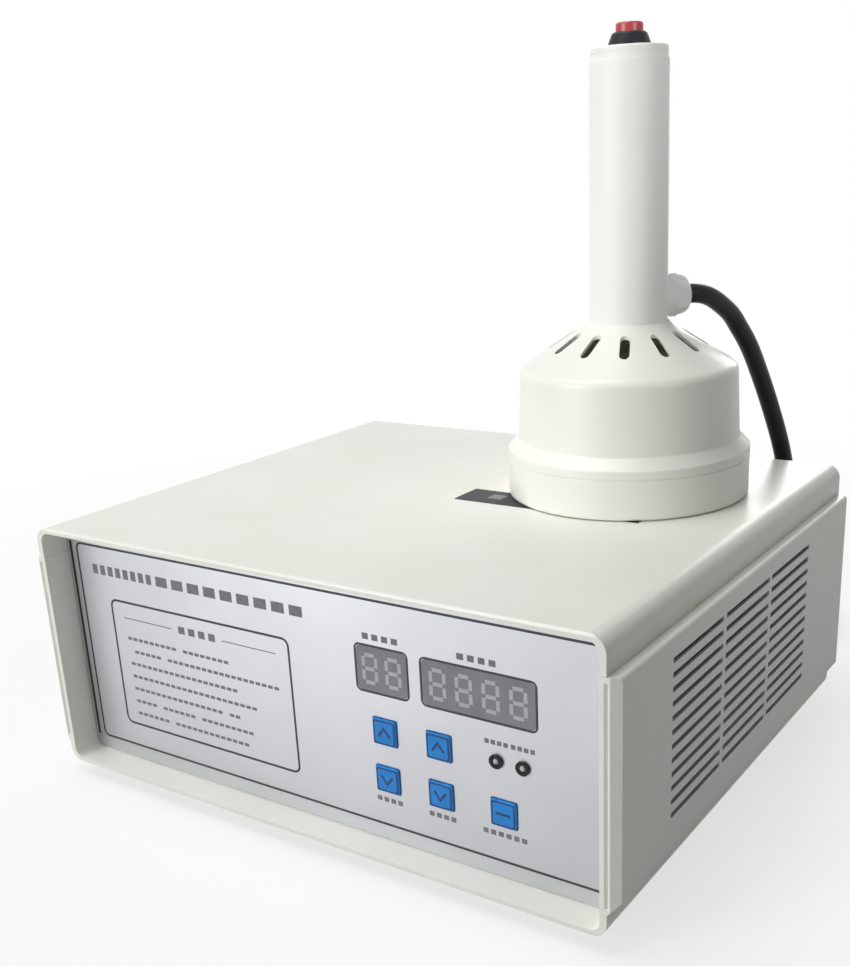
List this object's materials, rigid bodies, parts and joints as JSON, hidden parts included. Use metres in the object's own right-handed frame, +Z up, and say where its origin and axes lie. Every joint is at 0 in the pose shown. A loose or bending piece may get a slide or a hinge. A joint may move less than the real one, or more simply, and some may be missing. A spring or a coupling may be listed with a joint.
{
  "type": "induction cap sealer",
  "caption": "Bench induction cap sealer: a louvred case with a recessed key panel and displays, and a hand-held sealing head with a vented cone, a tube handle and a trigger, wired by a cable.",
  "frame": {"origin": "on the table under the middle of the case, at the underside of the feet", "axes": "+X to the right seen from the front, +Y to the rear, +Z up; the front panel faces -Y"},
  "size_m": [0.31, 0.3965, 0.3363],
  "materials": {
    "case_abs": "satin moulded, ivory white",
    "panel_film": "satin silver print film",
    "foot_rubber": "matte moulded rubber",
    "zinc_steel": "zinc plated",
    "dark_strip": "printed film",
    "window_acrylic": "smoked acrylic",
    "black_plastic": "moulded, satin",
    "key_blue": "semi-gloss",
    "lamp_lens": "diffused lens",
    "circuit_board": "solder mask",
    "aluminium": "extruded",
    "capacitor_sleeve": "shrink sleeve",
    "capacitor_blue": "epoxy filled box",
    "copper": "enamelled copper wire",
    "ferrite": "sintered, matte",
    "brass": "nickel flashed brass",
    "rocker_black": "semi-gloss",
    "gland_nylon": "moulded nylon, light grey",
    "phenolic": "machined sheet",
    "button_red": "semi-gloss",
    "cable_rubber": "satin cable jacket"
  },
  "bodies": {
    "case": {"top_cover": "case_abs", "bottom_cover": "case_abs", "left_side_panel": "case_abs", "right_side_panel": "case_abs", "front_panel": "case_abs", "front_film": "panel_film", "rear_panel": "case_abs", "feet": "foot_rubber", "case_screws": "zinc_steel", "top_strip": "dark_strip", "display_windows": "window_acrylic", "time_display": "black_plastic", "count_display": "black_plastic", "lamp_bezels": "black_plastic", "lamps": "lamp_lens", "control_board": "circuit_board", "key_switches": "black_plastic", "board_screws": "zinc_steel", "main_board": "circuit_board", "heat_sink": "aluminium", "power_transistors": "black_plastic", "filter_capacitors": "capacitor_sleeve", "resonance_capacitors": "capacitor_blue", "choke": "copper", "transformer": "ferrite", "fan_frame": "black_plastic", "fan_grille": "zinc_steel", "fan_screws": "zinc_steel", "mains_inlet": "black_plastic", "inlet_pins": "brass", "switch_body": "black_plastic", "fuse_holder": "black_plastic", "fuse_cap": "black_plastic", "rear_gland_body": "gland_nylon", "rear_gland_nut": "gland_nylon", "rear_lock_nut": "gland_nylon", "base_cup": "case_abs", "head_shell": "case_abs", "coil_former": "phenolic", "sealing_coil": "copper", "ferrite_bars": "ferrite", "head_screws": "zinc_steel", "handle_tube": "case_abs", "handle_cap": "case_abs", "trigger_bezel": "black_plastic", "trigger_switch": "black_plastic", "handle_gland_body": "gland_nylon", "handle_gland_nut": "gland_nylon", "cable_head_end": "cable_rubber", "cable_coil": "cable_rubber", "cable_case_end": "cable_rubber", "cable_tie": "black_plastic"},
    "trigger": {"trigger_button": "button_red"},
    "time_up": {"key_time_up": "key_blue"},
    "time_down": {"key_time_down": "key_blue"},
    "count_up": {"key_count_up": "key_blue"},
    "count_down": {"key_count_down": "key_blue"},
    "reset": {"key_reset": "key_blue"},
    "rocker": {"power_rocker": "rocker_black"},
    "rotor": {"fan_rotor": "black_plastic"}
  },
  "joints": [
    {"name": "trigger_press", "type": "slide", "parent": "case", "child": "trigger", "axis": [0, 0, -1], "range_m": [0, 0.003], "stiffness_N_per_m": 800},
    {"name": "time_up_press", "type": "slide", "parent": "case", "child": "time_up", "axis": [0, 1, 0], "range_m": [0, 0.0005], "stiffness_N_per_m": 3000},
    {"name": "time_down_press", "type": "slide", "parent": "case", "child": "time_down", "axis": [0, 1, 0], "range_m": [0, 0.0005], "stiffness_N_per_m": 3000},
    {"name": "count_up_press", "type": "slide", "parent": "case", "child": "count_up", "axis": [0, 1, 0], "range_m": [0, 0.0005], "stiffness_N_per_m": 3000},
    {"name": "count_down_press", "type": "slide", "parent": "case", "child": "count_down", "axis": [0, 1, 0], "range_m": [0, 0.0005], "stiffness_N_per_m": 3000},
    {"name": "reset_press", "type": "slide", "parent": "case", "child": "reset", "axis": [0, 1, 0], "range_m": [0, 0.0005], "stiffness_N_per_m": 3000},
    {"name": "rocker_tip", "type": "hinge", "parent": "case", "child": "rocker", "pos_m": [0.112, 0.1165, 0.08475], "axis": [1, 0, 0], "range_deg": [-20, 0]},
    {"name": "fan_spin", "type": "hinge", "parent": "case", "child": "rotor", "pos_m": [-0.085, 0.1, 0.06875], "axis": [0, 1, 0], "continuous": true}
  ]
}
